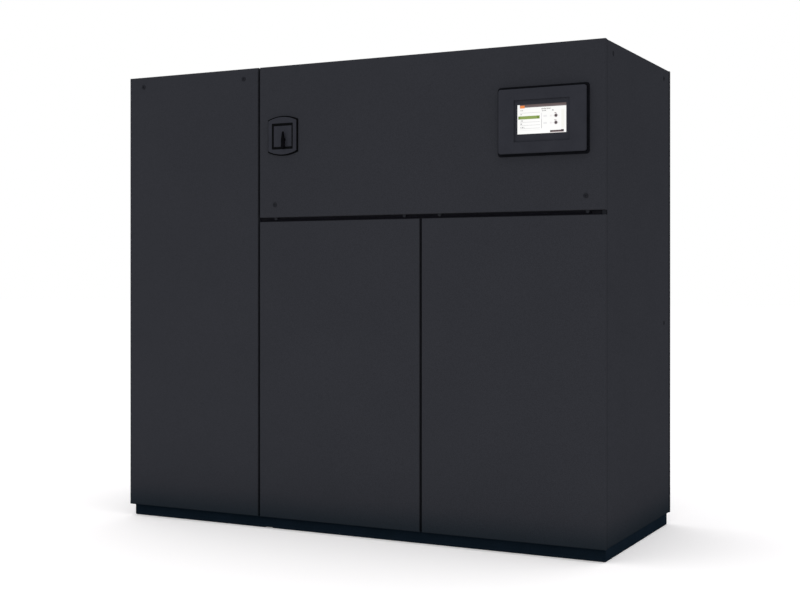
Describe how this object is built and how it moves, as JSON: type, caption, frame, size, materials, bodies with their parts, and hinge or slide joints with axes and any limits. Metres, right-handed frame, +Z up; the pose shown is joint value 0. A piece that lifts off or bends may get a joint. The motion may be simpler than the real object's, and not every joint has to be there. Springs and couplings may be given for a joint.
{
  "type": "computer room air conditioner",
  "caption": "Floor-standing downflow computer room air conditioner: panelled cabinet on a recessed base, with a touch display, a turning disconnect handle and filters in the top.",
  "frame": {"origin": "on the floor under the middle of the cabinet", "axes": "+Z up, +X to the right seen from the front, front towards -Y"},
  "size_m": [2.184, 0.91, 1.93],
  "materials": {
    "panel_paint": "fine satin powder coat, charcoal grey",
    "base_paint": "satin black paint",
    "frame_paint": "black powder coat",
    "frame_zinc": "zinc coated sheet",
    "black_moulding": "matt moulded",
    "grey_moulding": "fine spark texture",
    "screen_glass": "lit touch screen",
    "handle_nylon": "matt moulded",
    "filter_media": "folded glass fibre media",
    "wheel_aluminium": "welded sheet, mill finish",
    "motor_casting": "black dip coat"
  },
  "bodies": {
    "cabinet": {"base_cross_rail": "base_paint", "base_front_rail": "base_paint", "base_left_rail": "base_paint", "base_rear_rail": "base_paint", "base_right_rail": "base_paint", "bay_bulkhead": "frame_zinc", "compressor_front_panel": "panel_paint", "compressor_pan": "frame_zinc", "compressor_rear_panel": "panel_paint", "compressor_top_cover": "panel_paint", "disconnect_bezel": "grey_moulding", "disconnect_gasket": "black_moulding", "disconnect_plate": "grey_moulding", "display_faceplate": "grey_moulding", "display_housing": "black_moulding", "display_screen": "screen_glass", "door_latches": "panel_paint", "door_mullion": "frame_paint", "door_rail": "frame_paint", "electrical_top_cover": "panel_paint", "fan_carriers": "frame_zinc", "fan_deck": "frame_zinc", "fan_motors": "motor_casting", "fan_wheels": "wheel_aluminium", "filter_1": "filter_media", "filter_2": "filter_media", "filter_3": "filter_media", "filter_4": "filter_media", "filter_dividers": "frame_zinc", "filter_header": "frame_zinc", "filter_ledges": "frame_zinc", "joint_post_front": "frame_paint", "joint_post_rear": "frame_paint", "left_side_panel": "panel_paint", "lower_front_panel_left": "panel_paint", "lower_front_panel_right": "panel_paint", "post_front_left": "frame_paint", "post_front_right": "frame_paint", "post_rear_left": "frame_paint", "post_rear_right": "frame_paint", "rear_panel_inner": "panel_paint", "rear_panel_outer": "panel_paint", "right_side_panel": "panel_paint", "top_cross_rail": "frame_paint", "top_front_rail": "frame_paint", "top_left_rail": "frame_paint", "top_rear_rail": "frame_paint", "top_right_rail": "frame_paint", "upper_front_panel": "panel_paint"},
    "handle": {"disconnect_handle": "handle_nylon"}
  },
  "joints": [
    {"name": "disconnect_turn", "type": "hinge", "parent": "cabinet", "child": "handle", "pos_m": [-0.287, -0.4605, 1.6215], "axis": [0, -1, 0], "range_deg": [0, 90]}
  ]
}
